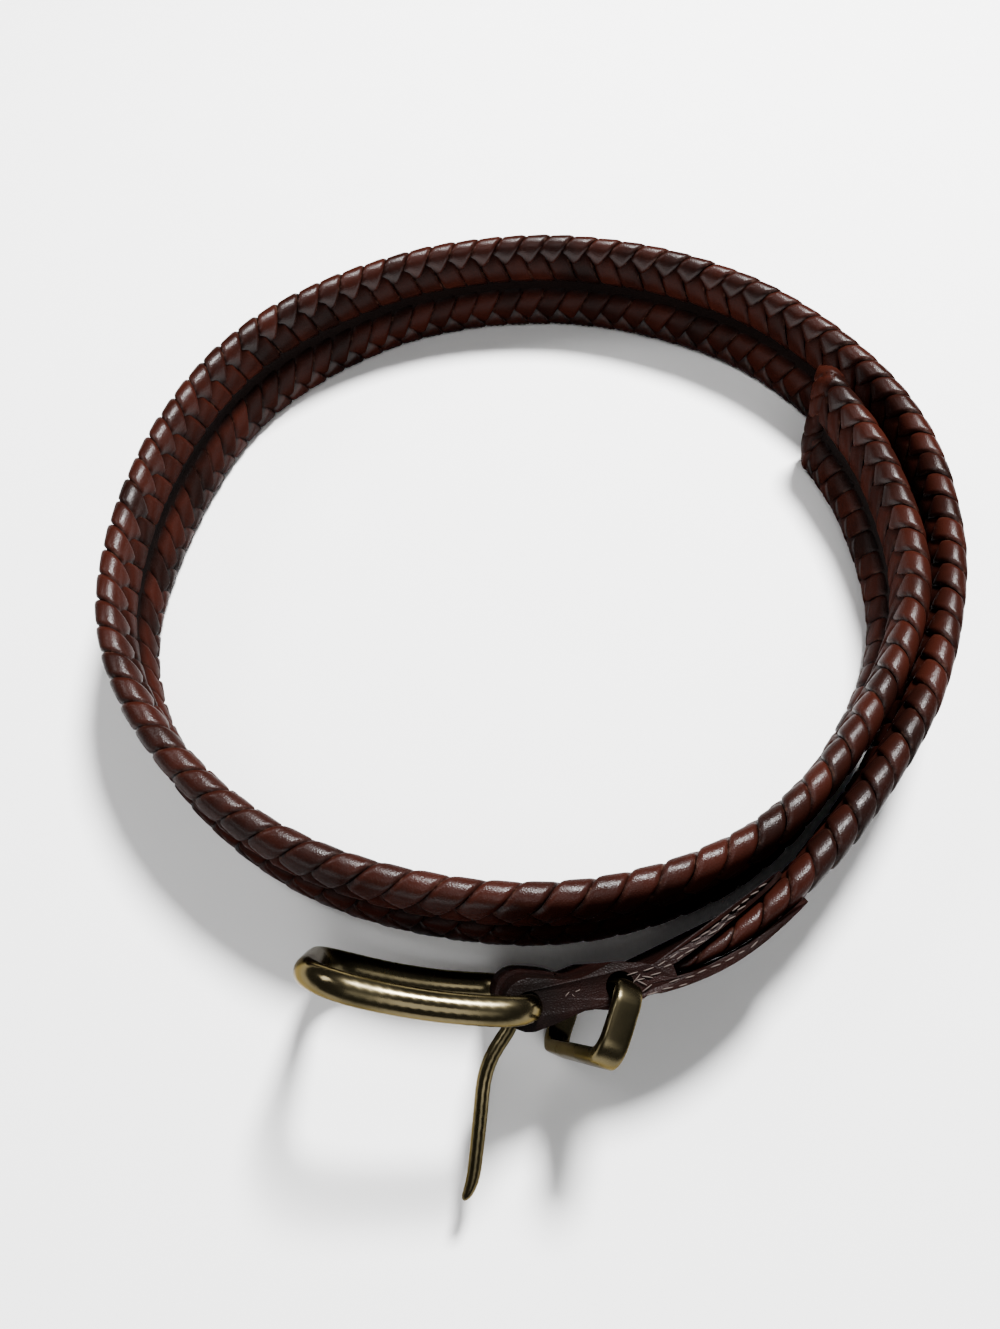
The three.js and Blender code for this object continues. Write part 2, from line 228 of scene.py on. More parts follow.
class Section:
    """Outline of the two-lobed section by distance round it, from the middle of the upper
    edge, down the inner face and up the outer one."""

    def __init__(self):
        angle = np.linspace(0, 2 * np.pi, SECTION_ANGLES + 1)
        height = np.cos(angle)
        place = (np.abs(height) - 0.5) * 2
        rounded = np.maximum(1 - np.maximum(place, 0) ** LOBE_POWER, 0) ** (1 / LOBE_POWER)
        grooved = 1 - (2 * GROOVE_DEPTH / STRAP_THICKNESS) * place ** 2
        lobe = np.where(place >= 0, rounded, grooved)
        y = np.sign(np.sin(angle)) * lobe * STRAP_THICKNESS / 2
        y[[0, SECTION_ANGLES // 2, SECTION_ANGLES]] = 0
        z = height * STRAP_HEIGHT / 2
        outline = np.stack([y, z], axis=1)
        run = np.concatenate([[0], np.cumsum(np.linalg.norm(np.diff(outline, axis=0), axis=1))])
        self.girth = run[-1]
        self.at = np.linspace(0, self.girth, SECTION_SAMPLES)
        self.outline = np.stack([np.interp(self.at, run, outline[:, k]) for k in range(2)], axis=1)
        ring = self.outline[:-1]
        for _ in range(SMOOTHING_PASSES):
            ring = (np.roll(ring, 1, axis=0) + 2 * ring + np.roll(ring, -1, axis=0)) / 4
        tangent = np.roll(ring, -1, axis=0) - np.roll(ring, 1, axis=0)
        tangent /= np.linalg.norm(tangent, axis=1)[:, None]
        normal = np.stack([-tangent[:, 1], tangent[:, 0]], axis=1)
        self.outline = np.vstack([ring, ring[:1]])
        self.normal = np.vstack([normal, normal[:1]])

    def wrap(self, flat):
        """Maps the flat braid (along, round, proud) round the strap's section."""
        x, proud = flat[:, 0], flat[:, 2:3]
        way = np.mod(flat[:, 1], self.girth)

        def at(column):
            return np.stack([np.interp(way, self.at, column[:, k]) for k in range(2)], axis=1)

        yz = at(self.outline) + at(self.normal) * proud
        end = np.clip((x - (LIE.length - TIP_RUN)) / TIP_RUN, 0, 1)
        rows = np.array(BRAID_TAPER)
        yz[:, 0] *= np.interp(x, rows[:, 0], rows[:, 1]) * np.sqrt(1 - TIP_THINNING * end ** 2)
        yz[:, 1] *= np.interp(x, rows[:, 0], rows[:, 2]) * (1 - TIP_LOWERING * end ** 3)
        slant = TIP_SLANT * smooth(x, LIE.length - TIP_SLANT_RUN, LIE.length)
        along = x - slant * (0.5 - yz[:, 1] / STRAP_HEIGHT)
        return np.column_stack([along, yz])


SECTION = Section()


# Sizes and colours a user would change
class BeltSizes(bpy.types.PropertyGroup):
    pitch: bpy.props.FloatProperty(
        name="Strand pitch", description="Distance from one strand to the next along the strap",
        default=7.32 * MM, unit="LENGTH")
    inner_reach: bpy.props.FloatProperty(
        name="Inner reach", description="How far an edge strand comes down the inner face",
        default=7.0 * MM, unit="LENGTH")
    outer_reach: bpy.props.FloatProperty(
        name="Outer reach", description="How far an edge strand comes down the outer face",
        default=10.2 * MM, unit="LENGTH")
    strand_relief: bpy.props.FloatProperty(
        name="Strand relief", description="Height of a strand's middle over its edges",
        default=0.7 * MM, unit="LENGTH")
    stitch_length: bpy.props.FloatProperty(
        name="Stitch length", description="Length of one stitch in the leather end",
        default=2.0 * MM, unit="LENGTH")
    thread: bpy.props.FloatProperty(
        name="Thread", description="Thickness of the stitching thread",
        default=0.25 * MM, unit="LENGTH")


class BeltColours(bpy.types.PropertyGroup):
    braid: bpy.props.FloatVectorProperty(
        name="Braid", description="Colour of the braided leather", subtype="COLOR", size=4,
        min=0, max=1, default=(0.0190, 0.0042, 0.0025, 1))
    braid_dark: bpy.props.FloatVectorProperty(
        name="Braid shade", description="Colour of the darker strands", subtype="COLOR", size=4,
        min=0, max=1, default=(0.0052, 0.0018, 0.0013, 1))
    leather: bpy.props.FloatVectorProperty(
        name="Leather end", description="Colour of the plain leather", subtype="COLOR", size=4,
        min=0, max=1, default=(0.0082, 0.0026, 0.0020, 1))
    brass: bpy.props.FloatVectorProperty(
        name="Brass", description="Colour of the polished brass", subtype="COLOR", size=4,
        min=0, max=1, default=(0.076, 0.062, 0.034, 1))
    patina: bpy.props.FloatVectorProperty(
        name="Patina", description="Colour of the dark patina", subtype="COLOR", size=4,
        min=0, max=1, default=(0.012, 0.0105, 0.0055, 1))
    thread: bpy.props.FloatVectorProperty(
        name="Thread", description="Colour of the stitches", subtype="COLOR", size=4,
        min=0, max=1, default=(0.052, 0.034, 0.026, 1))


def sizes():
    return bpy.context.scene.belt_sizes


def colours():
    return bpy.context.scene.belt_colours


# Mesh helpers
MERGE_DISTANCE = 0.02 * MM


def deselect_all():
    if bpy.context.object and bpy.context.object.mode != "OBJECT":
        bpy.ops.object.mode_set(mode="OBJECT")
    bpy.ops.object.select_all(action="DESELECT")


def make_active(obj):
    deselect_all()
    obj.select_set(True)
    bpy.context.view_layer.objects.active = obj


def name_active(name):
    obj = bpy.context.object
    obj.name = name
    obj.data.name = name
    return obj


def points(obj):
    co = np.zeros(len(obj.data.vertices) * 3)
    obj.data.vertices.foreach_get("co", co)
    return co.reshape(-1, 3)


def set_points(obj, co):
    obj.data.vertices.foreach_set("co", np.ascontiguousarray(co, float).ravel())
    obj.data.update()


def set_attribute(obj, name, values):
    layer = obj.data.attributes.get(name) or obj.data.attributes.new(name, "FLOAT", "POINT")
    layer.data.foreach_set("value", np.ascontiguousarray(values, float))


def add_modifier(obj, name, kind, **settings):
    modifier = obj.modifiers.new(name, kind)
    for key, value in settings.items():
        setattr(modifier, key, value)
    make_active(obj)
    bpy.ops.object.modifier_apply(modifier=modifier.name)


def edit(obj, *steps):
    make_active(obj)
    bpy.ops.object.mode_set(mode="EDIT")
    for step in steps:
        step()
    bpy.ops.object.mode_set(mode="OBJECT")


def close_open_edges():
    bpy.ops.mesh.select_mode(type="EDGE")
    bpy.ops.mesh.select_all(action="DESELECT")
    bpy.ops.mesh.select_non_manifold()
    bpy.ops.mesh.edge_face_add()


def turn_faces_out():
    bpy.ops.mesh.select_all(action="SELECT")
    bpy.ops.mesh.normals_make_consistent(inside=False)


def merge_close():
    bpy.ops.mesh.select_all(action="SELECT")
    bpy.ops.mesh.remove_doubles(threshold=MERGE_DISTANCE)


def join(pieces, name):
    make_active(pieces[0])
    for piece in pieces[1:]:
        piece.select_set(True)
    bpy.ops.object.join()
    return name_active(name)


def shade(obj, angle):
    make_active(obj)
    bpy.ops.object.shade_smooth_by_angle(angle=math.radians(angle))


def finish(obj, body, nodes, material):
    obj.data.materials.clear()
    obj.data.materials.append(material)
    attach(obj, body)
    if nodes:
        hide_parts(*nodes)
    deselect_all()


# Noises: scale, detail and roughness
FINE_GRAIN = (2600.0, 3.0, 0.6)
SLOW_TONE = (55.0, 4.0, 0.55)
SCUFFING = (420.0, 5.0, 0.7)
BRASS_CLOUDS = (70.0, 3.0, 0.5)
BRASS_SPECKS = (900.0, 4.0, 0.65)
THREAD_FIBRE = (3000.0, 3.0, 0.6)
FLOOR_SPECKS = (40.0, 3.0, 0.5)

# Size of the pores in millimetres
BRAID_PORES = 0.55
CORE_PORES = 0.7
PLAIN_PORES = 0.45

# Where a smooth ramp starts and ends
CREASE_RAMP = (0.0, 0.35)
SHEEN_RAMP = (0.14, 0.46)
BRAID_TONE_RAMP = (0.30, 0.85)
BRAID_EDGE_RAMP = (0.82, 0.95)
BRAID_WORN_RAMP = (0.50, 0.66)
PLAIN_TONE_RAMP = (0.3, 0.7)
PLAIN_WORN_RAMP = (0.62, 0.78)
LEATHER_ROUGH_RAMP = (0.35, 0.75)
BRASS_ROUGH_RAMP = (0.3, 0.7)
PATINA_RAMP = (0.40, 0.80)

# How much each mask or noise counts
FINE_SHARE = 0.5
STRAND_TONE_SHARE = 0.32
GRAIN_TONE_SHARE = 0.9
VALLEY_SHADE_SHARE = 0.85
BRAID_WORN_SHARE = 0.45
PLAIN_WORN_SHARE = 0.35
CLOUD_SHARE = 0.9
SPECK_SHARE = 0.1

# Roughness, from one end of its ramp to the other or even
BRAID_ROUGHNESS = (0.29, 0.46)
PLAIN_ROUGHNESS = (0.40, 0.62)
BRASS_ROUGHNESS = (0.17, 0.34)
CORE_ROUGHNESS = 0.8
THREAD_ROUGHNESS = 0.75
FLOOR_ROUGHNESS = 0.8

# Sheen, and the share of it that is left where it is seen along the surface
EDGE_GLOSS = 0.17
FACE_GLOSS = 0.04
PLAIN_GLOSS = 0.05
CORE_GLOSS = 0.02
EDGE_ON_SHARE = 0.06
WAX_IOR = 1.4

# Bumps: strength, and depth in millimetres
BRAID_BUMP = (0.22, 0.12)
CORE_BUMP = (0.3, 0.15)
PLAIN_BUMP = (0.4, 0.12)
BRASS_BUMP = (0.06, 0.1)
THREAD_BUMP = (0.5, 0.1)

# Colours of the painted shade in hollows and on the core, of wear, and of darker tones
VALLEY_PAINTED_SHADE = (0.0012, 0.0007, 0.0006, 1)
WORN_BRAID = (0.10, 0.048, 0.032, 1)
CORE_PAINTED_SHADE = (0.0015, 0.0009, 0.0008, 1)
CORE_PAINTED_SHADE_LIGHTER = (0.004, 0.0018, 0.0014, 1)
LEATHER_SHADE = (0.0024, 0.0014, 0.0012, 1)
WORN_LEATHER = (0.024, 0.013, 0.010, 1)
BRASS_TINT = (0.55, 0.50, 0.42, 1)
THREAD_SHADE = (0.018, 0.011, 0.008, 1)
FLOOR_SHADE = (0.90, 0.895, 0.89, 1)
FLOOR_PALE = (0.93, 0.93, 0.93, 1)


def new_group(name, inputs, outputs):
    group = bpy.data.node_groups.new(name, "ShaderNodeTree")
    for label, kind, value in inputs:
        socket = group.interface.new_socket(label, in_out="INPUT", socket_type=kind)
        if value is not None:
            socket.default_value = value
    for label, kind in outputs:
        group.interface.new_socket(label, in_out="OUTPUT", socket_type=kind)
    return group


def node(tree, kind, **settings):
    made = tree.nodes.new(kind)
    for key, value in settings.items():
        if key == "inputs":
            for label, socket_value in value.items():
                made.inputs[label].default_value = socket_value
        else:
            setattr(made, key, value)
    return made


def math_node(tree, operation, a, b, clamp=False):
    made = node(tree, "ShaderNodeMath", operation=operation, use_clamp=clamp)
    for k, value in enumerate((a, b)):
        if isinstance(value, (int, float)):
            made.inputs[k].default_value = value
        else:
            tree.links.new(value, made.inputs[k])
    return made.outputs[0]


def map_range(tree, value, ramp, result=(0.0, 1.0)):
    """A smooth ramp of the value, which puts out the result's first number up to its start and
    the second from its end."""
    made = node(tree, "ShaderNodeMapRange", interpolation_type="SMOOTHSTEP")
    tree.links.new(value, made.inputs["Value"])
    for label, number in zip(("From Min", "From Max", "To Min", "To Max"), (*ramp, *result)):
        made.inputs[label].default_value = number
    return made.outputs["Result"]


def mix_colour(tree, share, a, b):
    """Colour a at share 0 and b at share 1. The node's sockets are counted, because those for
    colours have the same names as those for numbers."""
    made = node(tree, "ShaderNodeMix", data_type="RGBA")
    for socket, value in ((made.inputs[0], share), (made.inputs[6], a), (made.inputs[7], b)):
        if isinstance(value, (int, float, tuple)):
            socket.default_value = value
        else:
            tree.links.new(value, socket)
    return made.outputs[2]


def noise(tree, vector, kind):
    made = node(tree, "ShaderNodeTexNoise")
    for label, value in zip(("Scale", "Detail", "Roughness"), kind):
        made.inputs[label].default_value = value
    tree.links.new(vector, made.inputs["Vector"])
    return made.outputs["Fac"]


def grain_group():
    """Leather grain: creased pores, their height, a slow change of tone and scuffs."""
    if "Leather grain" in bpy.data.node_groups:
        return bpy.data.node_groups["Leather grain"]
    tree = new_group("Leather grain",
                     [("Pore size", "NodeSocketFloat", CORE_PORES), ("Vector", "NodeSocketVector", None)],
                     [("Height", "NodeSocketFloat"), ("Tone", "NodeSocketFloat"),
                      ("Scuff", "NodeSocketFloat")])
    inside = node(tree, "NodeGroupInput")
    out = node(tree, "NodeGroupOutput")
    vector = inside.outputs["Vector"]
    pores = node(tree, "ShaderNodeTexVoronoi", feature="DISTANCE_TO_EDGE")
    tree.links.new(vector, pores.inputs["Vector"])
    scale = math_node(tree, "DIVIDE", 1 / MM, inside.outputs["Pore size"])
    tree.links.new(scale, pores.inputs["Scale"])
    crease = map_range(tree, pores.outputs["Distance"], CREASE_RAMP)
    fine = math_node(tree, "MULTIPLY", noise(tree, vector, FINE_GRAIN), FINE_SHARE)
    tree.links.new(math_node(tree, "ADD", crease, fine), out.inputs["Height"])
    tree.links.new(noise(tree, vector, SLOW_TONE), out.inputs["Tone"])
    tree.links.new(noise(tree, vector, SCUFFING), out.inputs["Scuff"])
    return tree


def new_material(name):
    material = bpy.data.materials.new(name)
    material.use_nodes = True
    tree = material.node_tree
    tree.nodes.clear()
    out = node(tree, "ShaderNodeOutputMaterial")
    shader = node(tree, "ShaderNodeBsdfPrincipled")
    tree.links.new(shader.outputs[0], out.inputs[0])
    return material, tree, shader


def object_vector(tree):
    return node(tree, "ShaderNodeTexCoord").outputs["Object"]


def attribute(tree, name):
    return node(tree, "ShaderNodeAttribute", attribute_name=name).outputs["Fac"]


def bump(tree, shader, height, kind):
    strength, depth = kind
    made = node(tree, "ShaderNodeBump", inputs={"Strength": strength, "Distance": depth * MM})
    tree.links.new(height, made.inputs["Height"])
    tree.links.new(made.outputs[0], shader.inputs["Normal"])


def matte_at_edge(tree, shader, gloss):
    """Sheen that fades where the wax is seen along the surface."""
    facing = node(tree, "ShaderNodeLayerWeight", inputs={"Blend": 0.5}).outputs["Facing"]
    fading = map_range(tree, facing, SHEEN_RAMP, (gloss, gloss * EDGE_ON_SHARE))
    tree.links.new(fading, shader.inputs["Specular IOR Level"])


def leather_grain(tree, pores):
    """The grain's outputs, for pores of a size in millimetres."""
    grain = node(tree, "ShaderNodeGroup", node_tree=grain_group())
    tree.links.new(object_vector(tree), grain.inputs["Vector"])
    grain.inputs["Pore size"].default_value = pores
    return grain.outputs


def braid_leather(name, gloss):
    """Waxed red-brown leather, with painted shade in the valleys and where strands sink, and worn pale on
    the strands' edges.
    """
    material, tree, shader = new_material(name)
    grain = leather_grain(tree, BRAID_PORES)
    # low is the mask of painted shade in the valleys and at the sunk strand ends
    low = attribute(tree, "painted_shade")
    strand = math_node(tree, "MULTIPLY", attribute(tree, "strand_tone"), STRAND_TONE_SHARE)
    tone = math_node(tree, "ADD", strand, math_node(tree, "MULTIPLY", grain["Tone"], GRAIN_TONE_SHARE))
    base = mix_colour(tree, map_range(tree, tone, BRAID_TONE_RAMP), tuple(colours().braid_dark),
                      tuple(colours().braid))
    # Painted shade: the valleys and sunk strand ends are mixed towards near black
    base = mix_colour(tree, math_node(tree, "MULTIPLY", low, VALLEY_SHADE_SHARE), base, VALLEY_PAINTED_SHADE)
    edge = map_range(tree, attribute(tree, "strand_edge"), BRAID_EDGE_RAMP)
    worn = math_node(tree, "MULTIPLY", edge, map_range(tree, grain["Scuff"], BRAID_WORN_RAMP))
    worn = math_node(tree, "MULTIPLY", worn, math_node(tree, "SUBTRACT", 1.0, low, clamp=True))
    base = mix_colour(tree, math_node(tree, "MULTIPLY", worn, BRAID_WORN_SHARE), base, WORN_BRAID)
    tree.links.new(base, shader.inputs["Base Color"])
    rough = map_range(tree, grain["Scuff"], LEATHER_ROUGH_RAMP, BRAID_ROUGHNESS)
    tree.links.new(rough, shader.inputs["Roughness"])
    matte_at_edge(tree, shader, gloss)
    shader.inputs["IOR"].default_value = WAX_IOR
    bump(tree, shader, grain["Height"], BRAID_BUMP)
    return material


def core_leather():
    """Leather between and under the strands, painted almost black as shade."""
    material, tree, shader = new_material("Leather core")
    grain = leather_grain(tree, CORE_PORES)
    # Painted shade: the core is coloured almost black, like the shade deep between the strands
    base = mix_colour(tree, grain["Tone"], CORE_PAINTED_SHADE, CORE_PAINTED_SHADE_LIGHTER)
    tree.links.new(base, shader.inputs["Base Color"])
    shader.inputs["Roughness"].default_value = CORE_ROUGHNESS
    shader.inputs["Specular IOR Level"].default_value = CORE_GLOSS
    bump(tree, shader, grain["Height"], CORE_BUMP)
    return material


def plain_leather():
    """Smooth dark brown leather with fine creases."""
    material, tree, shader = new_material("Plain leather")
    grain = leather_grain(tree, PLAIN_PORES)
    tone = map_range(tree, grain["Tone"], PLAIN_TONE_RAMP)
    base = mix_colour(tree, tone, LEATHER_SHADE, tuple(colours().leather))
    worn = map_range(tree, grain["Scuff"], PLAIN_WORN_RAMP)
    base = mix_colour(tree, math_node(tree, "MULTIPLY", worn, PLAIN_WORN_SHARE), base, WORN_LEATHER)
    tree.links.new(base, shader.inputs["Base Color"])
    rough = map_range(tree, grain["Scuff"], LEATHER_ROUGH_RAMP, PLAIN_ROUGHNESS)
    tree.links.new(rough, shader.inputs["Roughness"])
    matte_at_edge(tree, shader, PLAIN_GLOSS)
    bump(tree, shader, grain["Height"], PLAIN_BUMP)
    return material


def antique_brass(name, darkness):
    """Polished brass that keeps a dark patina in clouds."""
    material, tree, shader = new_material(name)
    vector = object_vector(tree)
    clouds = math_node(tree, "MULTIPLY", noise(tree, vector, BRASS_CLOUDS), CLOUD_SHARE)
    specks = noise(tree, vector, BRASS_SPECKS)
    spots = math_node(tree, "ADD", clouds, math_node(tree, "MULTIPLY", specks, SPECK_SHARE))
    share = map_range(tree, spots, [stop - darkness for stop in PATINA_RAMP])
    base = mix_colour(tree, share, tuple(colours().brass), tuple(colours().patina))
    tree.links.new(base, shader.inputs["Base Color"])
    tree.links.new(map_range(tree, spots, BRASS_ROUGH_RAMP, BRASS_ROUGHNESS), shader.inputs["Roughness"])
    shader.inputs["Metallic"].default_value = 1.0
    shader.inputs["Specular Tint"].default_value = BRASS_TINT
    bump(tree, shader, specks, BRASS_BUMP)
    return material


def stitch_thread():
    """Dull twisted thread."""
    material, tree, shader = new_material("Stitching thread")
    fibre = noise(tree, object_vector(tree), THREAD_FIBRE)
    base = mix_colour(tree, fibre, THREAD_SHADE, tuple(colours().thread))
    tree.links.new(base, shader.inputs["Base Color"])
    shader.inputs["Roughness"].default_value = THREAD_ROUGHNESS
    bump(tree, shader, fibre, THREAD_BUMP)
    return material


def pale_floor():
    """Plain pale floor."""
    material, tree, shader = new_material("Pale floor")
    speck = noise(tree, object_vector(tree), FLOOR_SPECKS)
    tree.links.new(mix_colour(tree, speck, FLOOR_SHADE, FLOOR_PALE), shader.inputs["Base Color"])
    shader.inputs["Roughness"].default_value = FLOOR_ROUGHNESS
    return material


# Strands of the braid, in millimetres. A slope is the run along the strap for each distance
# round its section.
EDGE_SLOPE = 0.54
FACE_SLOPE = 0.42

# A strand tucks under its neighbours at its ends, or ends beside the valley in the middle of a
# face, and it sinks over the last stretch before its end.
TUCK = 2.0
TUCK_DIP = 3.2
VALLEY_HALF = 0.4
VALLEY_DIP = 1.9
END_SINK = 1.5

# Height of a strand's middle over the solid, half of how much lower one side lies than the
# other, how squarely it is rounded, and the share of a full mitre that its ends have
CROWN = 0.12
SHINGLE_HALF = 0.12
ROUNDING_POWER = 8
INNER_CUT_SHARE = 0.6
OUTER_CUT_SHARE = 0.85

# Faces across a strand, and the power that crowds its points towards its sides
STRAND_ACROSS = 6
CROWDING = 0.5

# How far strands stray, how far past the tip their points may lie, how many start before the
# strap and how many are spare at its end
STRAY_ALONG = 0.35
STRAY_PROUD = 0.14
PAST_TIP = 0.25
EARLY_STRANDS = 1.5
SPARE_STRANDS = 3

# Strands farther than this before the strap's start are inside the leather end, so they are
# made smaller through and up
HIDDEN_RUN = 1.0
HIDDEN_SIZE = (1, 0.8, 0.95)

# How much painted shade a place gets: by its distance from a valley, and by how far it has sunk
VALLEY_DARKNESS = 1.35
VALLEY_WIDTH = 2.1
SUNK_FROM = 0.25
SUNK_RUN = 0.5

# Strands folded over the free end: their number, the faces along each and the crowding
FOLD_STRANDS = 6
FOLD_ROWS = 16
FOLD_CROWDING = 0.6
FOLD_SEED = 23

# Half of a folded strand's run over the tip, its run along each face, and its slope there
FOLD_HALF_TIP = 1.7
FOLD_REACH = 9.5
FOLD_SLOPE = 0.95

# Distance of the first one from the upper edge, of each from the next, its half width as a
# share of that, and what stays free at the lower edge
FOLD_FIRST = 3.6
FOLD_SPACING = 6.4
FOLD_HALF_WIDTH = 0.53
FOLD_MARGIN = 0.4

# Its height, relief, rounding, sinking at both ends, and rise over the tip
FOLD_CROWN = 0.5
FOLD_RELIEF = 0.75
FOLD_ROUNDING_POWER = 5
FOLD_SINK = 1.3
FOLD_SINK_RUN = 3.0
FOLD_TIP_RISE = 0.5
FOLD_TIP_SHARE = 0.6

# Core under the strands: its depth, how far it ends before the tip, faces along and round it
CORE_DEPTH = 0.95
CORE_SHORT = 0.4
CORE_ALONG = 300
CORE_ROUND = 36

# Angles under which faces are shaded smooth, in degrees
CORE_SMOOTH = 40
STRAND_SMOOTH = 50
LEATHER_SMOOTH = 35
THREAD_SMOOTH = 60
BRASS_SMOOTH = 60

# Piece, its columns (name, faces along a strand, seed), and which leather it has
BRAID_PIECES = (
    ("braid_upper_edge", (("upper_edge", 15, 3),), "edges"),
    ("braid_inner_face", (("inner_upper", 6, 5), ("inner_lower", 6, 7)), "faces"),
    ("braid_lower_edge", (("lower_edge", 15, 11),), "edges"),
    ("braid_outer_face", (("outer_lower", 6, 13), ("outer_upper", 6, 17)), "faces"),
)


def column_bounds():
    """(start, end, slope) of each column round the section, in millimetres."""
    inner, outer = sizes().inner_reach / MM, sizes().outer_reach / MM
    quarter = SECTION.girth / 4
    return {
        "upper_edge": (-outer, inner, EDGE_SLOPE),
        "inner_upper": (inner, quarter, -FACE_SLOPE),
        "inner_lower": (quarter, 2 * quarter - inner, FACE_SLOPE),
        "lower_edge": (2 * quarter - inner, 2 * quarter + outer, -EDGE_SLOPE),
        "outer_lower": (2 * quarter + outer, 3 * quarter, FACE_SLOPE),
        "outer_upper": (3 * quarter, 4 * quarter - outer, -FACE_SLOPE),
    }


def column_shift(name):
    """Distance along the strap of a column's strands at the column's start."""
    pitch = sizes().pitch / MM
    shift = 0.0
    for other, (start, end, slope) in column_bounds().items():
        if other == name:
            break
        shift += slope * (end - start) + pitch / 2
    return shift


def strand_span(name, side):
    """Where a strand starts and ends round the section, at places across it, and how far
    from each of its ends it starts to dip."""
    start, end, slope = column_bounds()[name]
    full_cut = sizes().pitch / MM / (2 * (EDGE_SLOPE + FACE_SLOPE))
    start_share = OUTER_CUT_SHARE if name in ("upper_edge", "outer_lower") else INNER_CUT_SHARE
    end_share = OUTER_CUT_SHARE if name in ("lower_edge", "outer_upper") else INNER_CUT_SHARE
    turn = -math.copysign(1, slope)
    first = start - TUCK + turn * side * (start_share * full_cut)
    last = end + TUCK + turn * side * (end_share * full_cut)
    first_dip = last_dip = TUCK_DIP
    if name in ("inner_upper", "outer_lower"):
        last = np.full_like(side, end - VALLEY_HALF)
        last_dip = VALLEY_DIP
    if name in ("inner_lower", "outer_upper"):
        first = np.full_like(side, start + VALLEY_HALF)
        first_dip = VALLEY_DIP
    return first, last, first_dip, last_dip


def flat_strand(name, rows):
    """One strand of a column, shaped flat and closed, its middle at the start of the strap."""
    start, _, slope = column_bounds()[name]
    deselect_all()
    bpy.ops.mesh.primitive_grid_add(x_subdivisions=STRAND_ACROSS, y_subdivisions=rows, size=2)
    strand = name_active(name)
    co = points(strand)
    side = np.sign(co[:, 0]) * np.abs(co[:, 0]) ** CROWDING
    even = (co[:, 1] + 1) / 2
    share = even if "edge" in name else 0.5 - 0.5 * np.cos(np.pi * even)
    first, last, first_dip, last_dip = strand_span(name, side)
    way = first + (last - first) * share
    from_end = np.minimum((way - first) / first_dip, (last - way) / last_dip)
    dip = (1 - smooth(from_end, 0, 1)) * END_SINK
    relief = sizes().strand_relief / MM
    proud = CROWN - relief * np.abs(side) ** ROUNDING_POWER - dip - SHINGLE_HALF * (side + 1)
    along = side * (sizes().pitch / MM) * 0.5 + slope * (way - start)
    set_points(strand, np.column_stack([along, way, proud]) * MM)
    set_attribute(strand, "strand_edge", np.abs(side))
    edit(strand, close_open_edges, turn_faces_out)
    return strand


def painted_shade_mask(co):
    """Mask of the painted shade: 1 in the valleys and where a strand has sunk, 0 on top."""
    quarter = SECTION.girth / 4
    from_valley = quarter - np.abs(np.mod(co[:, 1] + quarter, 2 * quarter) - quarter)
    low = np.clip(VALLEY_DARKNESS - from_valley / VALLEY_WIDTH, 0, 1)
    return np.clip(low + np.clip((-co[:, 2] - SUNK_FROM) / SUNK_RUN, 0, 1), 0, 1)


def braid_column(name, rows, seed):
    """One column of strands: a strand shaped flat, repeated, then wrapped round the strap."""
    pitch = sizes().pitch / MM
    strand = flat_strand(name, rows)
    count_each = len(strand.data.vertices)
    first_at = STRAP_START - pitch * EARLY_STRANDS
    count = int((LIE.length - first_at) / pitch) + SPARE_STRANDS
    add_modifier(strand, "Repeat", "ARRAY", count=count, use_relative_offset=False,
                 use_constant_offset=True, constant_offset_displace=(pitch * MM, 0, 0))
    co = points(strand) / MM
    rng = np.random.RandomState(seed)
    number = np.arange(len(co)) // count_each
    co[:, 0] += first_at + np.mod(column_shift(name), pitch)
    co[:, 0] += (rng.rand(count)[number] - 0.5) * STRAY_ALONG
    co[:, 2] += (rng.rand(count)[number] - 0.5) * STRAY_PROUD
    co[:, 0] = np.minimum(co[:, 0], LIE.length + PAST_TIP)
    set_attribute(strand, "strand_tone", rng.rand(count)[number])
    # Where the painted shade falls: the valleys and the sunk ends of the strands
    set_attribute(strand, "painted_shade", painted_shade_mask(co))
    hidden = co[:, 0] < STRAP_START - HIDDEN_RUN
    co = SECTION.wrap(co)
    co[hidden] = co[hidden] * HIDDEN_SIZE
    set_points(strand, LIE.place(co) * MM)
    return strand


